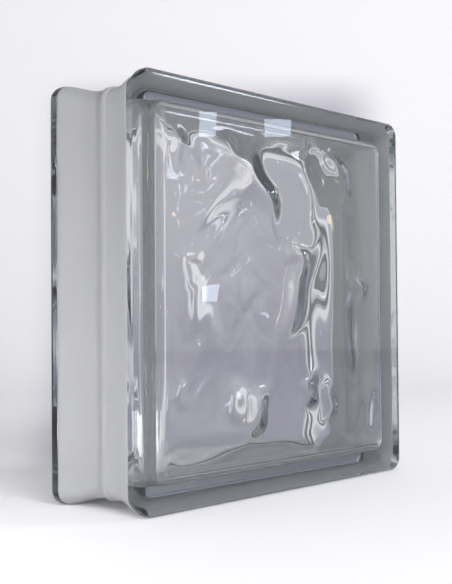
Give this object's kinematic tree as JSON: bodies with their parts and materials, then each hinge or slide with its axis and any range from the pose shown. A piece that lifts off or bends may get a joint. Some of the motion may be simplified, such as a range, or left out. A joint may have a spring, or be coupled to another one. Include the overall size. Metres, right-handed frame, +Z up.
{
  "type": "glass block",
  "caption": "Square hollow glass building block with flat faces, a cloudy pressed pattern inside and a white-coated mortar channel round its edge.",
  "frame": {"origin": "middle of the underside of the block as it stands in a wall", "axes": "+X along the width, +Y from the front face to the rear face, +Z up"},
  "size_m": [0.24, 0.08, 0.24],
  "materials": {
    "clear_glass": "fire-polished clear glass",
    "white_coating": "matt white bonding paint"
  },
  "bodies": {
    "root": {"front_glass_half": "clear_glass", "rear_glass_half": "clear_glass", "edge_coating": "white_coating"}
  },
  "joints": []
}
